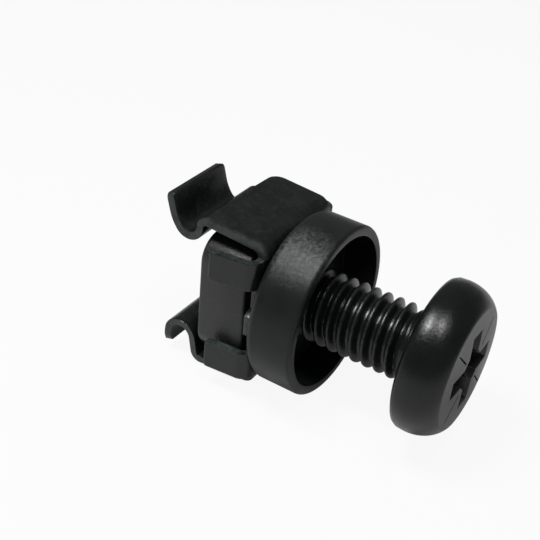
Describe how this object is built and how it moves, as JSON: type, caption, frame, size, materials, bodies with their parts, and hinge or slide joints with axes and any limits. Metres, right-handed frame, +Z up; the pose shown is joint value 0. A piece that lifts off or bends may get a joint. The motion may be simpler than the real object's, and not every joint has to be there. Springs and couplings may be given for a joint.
{
  "type": "rack cage nut",
  "caption": "Folded spring steel cage with sprung wings and a loose square nut, with its pan head screw and cup washer, for a square hole in a rack rail.",
  "frame": {"origin": "on the screw's axis, in the middle of the groove of the upper wing that takes the rail's edge", "axes": "+X along the screw from the rail toward the head, +Z up through the upper side plate, +Y across the rail"},
  "size_m": [0.0246, 0.014, 0.0149],
  "materials": {
    "cage_steel": "black oxide, semi gloss",
    "nut_steel": "black oxide, fine grain",
    "washer_plastic": "satin black",
    "screw_steel": "black oxide, semi gloss"
  },
  "bodies": {
    "cage": {"cage": "cage_steel"},
    "nut": {"nut": "nut_steel"},
    "washer": {"washer": "washer_plastic"},
    "screw": {"screw": "screw_steel"}
  },
  "joints": [
    {"name": "nut_float", "type": "slide", "parent": "cage", "child": "nut", "axis": [0, 1, 0], "range_m": [-0.00015, 0.00015]},
    {"name": "screw_turn", "type": "hinge", "parent": "nut", "child": "washer", "pos_m": [0, 0, 0], "axis": [-1, 0, 0], "range_deg": [-720, 3600]},
    {"name": "screw_advance", "type": "slide", "parent": "washer", "child": "screw", "axis": [-1, 0, 0], "range_m": [-0.0021, 0.0101]}
  ],
  "couplings": [
    {"joint": "screw_advance", "follows": "screw_turn", "m_per_rad": 0.00015915}
  ]
}
